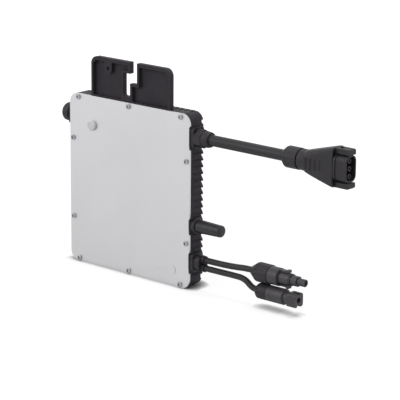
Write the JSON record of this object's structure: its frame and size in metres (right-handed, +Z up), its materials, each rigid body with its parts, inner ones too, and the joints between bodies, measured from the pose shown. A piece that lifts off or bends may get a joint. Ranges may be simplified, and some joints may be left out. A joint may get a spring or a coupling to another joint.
{
  "type": "solar microinverter",
  "caption": "Flat solar microinverter with a finned black die-cast back, plain metal cover, hooked hanging bracket, plugged mains cable, stub antenna and panel leads",
  "frame": {"origin": "middle of the bottom edge, in the plane of the port axes", "axes": "X to the right along the ports, Y from the cover to the fins, Z up to the hanging bracket"},
  "size_m": [0.3589, 0.0327, 0.214],
  "materials": {
    "black_casting": "black powder-coated die-cast aluminium, fine satin grain",
    "bare_aluminium": "light natural sheet aluminium, matte",
    "black_rubber": "soft black rubber, matte",
    "steel": "plain steel",
    "black_plastic": "black moulded nylon, fine satin",
    "grey_plastic": "light grey moulded plastic",
    "wire_plastic": "wire insulation",
    "cable_jacket": "black cable jacket, satin",
    "brass": "plated contact brass",
    "laminate": "green circuit laminate",
    "ferrite": "dark grey ferrite",
    "copper": "enamelled copper wire",
    "aluminium_can": "plain aluminium can",
    "green_plastic": "green terminal plastic",
    "grey_rubber": "grey thermal pad"
  },
  "bodies": {
    "root": {"heatsink_housing": "black_casting", "cover_plate": "bare_aluminium", "cover_gasket": "black_rubber", "cover_screws": "steel", "vent_plug": "grey_plastic", "ac_outlet_flange": "black_plastic", "ac_outlet_screws": "steel", "ac_outlet_nut": "black_plastic", "ac_outlet_seal": "black_rubber", "ac_outlet_conductors": "wire_plastic", "ac_cable": "cable_jacket", "ac_plug_nut": "black_plastic", "ac_plug_seal": "black_rubber", "ac_plug_shell": "black_plastic", "ac_plug_insert": "black_plastic", "ac_plug_contacts": "brass", "ac_plug_ring": "black_rubber", "ac_inlet_flange": "black_plastic", "ac_inlet_screws": "steel", "ac_inlet_barrel": "black_plastic", "ac_inlet_pins": "brass", "ac_inlet_cap": "black_plastic", "antenna_collar": "black_plastic", "antenna_nut": "brass", "antenna_rod": "black_rubber", "antenna_lead": "wire_plastic", "dc_gland_flange": "black_plastic", "dc_gland_body": "black_plastic", "dc_lead_cores": "wire_plastic", "dc_lead_positive": "cable_jacket", "dc_lead_negative": "cable_jacket", "pv_male_nut": "black_plastic", "pv_male_body": "black_plastic", "pv_male_contact": "brass", "pv_male_seal": "black_rubber", "pv_female_nut": "black_plastic", "pv_female_body": "black_plastic", "pv_female_contact": "brass", "circuit_board": "laminate", "board_screws": "steel", "transformer_core": "ferrite", "transformer_winding": "copper", "input_capacitors": "aluminium_can", "output_choke": "copper", "terminal_blocks": "green_plastic", "power_transistors": "black_plastic", "thermal_pads": "grey_rubber", "film_capacitor": "grey_plastic", "relays": "black_plastic", "radio_module": "aluminium_can"}
  },
  "joints": []
}
